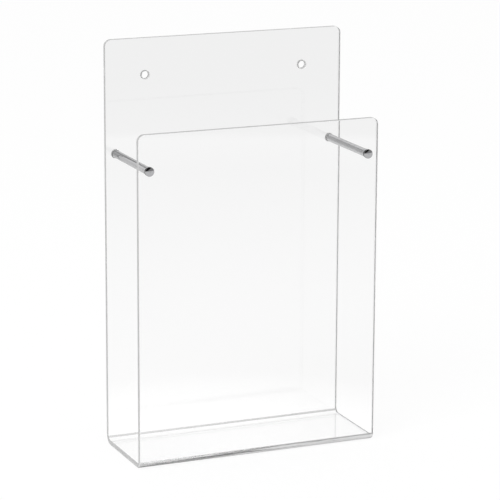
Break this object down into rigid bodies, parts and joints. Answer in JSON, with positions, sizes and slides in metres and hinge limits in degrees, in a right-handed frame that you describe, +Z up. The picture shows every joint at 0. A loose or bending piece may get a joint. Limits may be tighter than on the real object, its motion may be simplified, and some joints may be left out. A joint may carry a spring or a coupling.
{
  "type": "magazine rack",
  "caption": "Clear acrylic wall-mounted magazine holder: one bent sheet with a tall drilled back panel and a lower front panel, held apart by metal spacer rods.",
  "frame": {"origin": "centre of the bottom of the whole rack's bounding box, on the plane of the floor panel's underside", "axes": "+X to the right as seen by a reader facing the rack, +Y towards the wall, +Z up"},
  "size_m": [0.24, 0.0928, 0.39],
  "materials": {
    "clear_acrylic": "clear, polished faces and edges",
    "polished_metal": "polished",
    "black_washer": "matte",
    "screw_steel": "plain steel"
  },
  "bodies": {
    "root": {"acrylic_sheet": "clear_acrylic", "spacer_rod_left": "polished_metal", "spacer_rod_right": "polished_metal", "front_cap_left": "polished_metal", "front_cap_right": "polished_metal", "cap_washer_left": "black_washer", "cap_washer_right": "black_washer", "rear_screw_left": "screw_steel", "rear_screw_right": "screw_steel"}
  },
  "joints": []
}
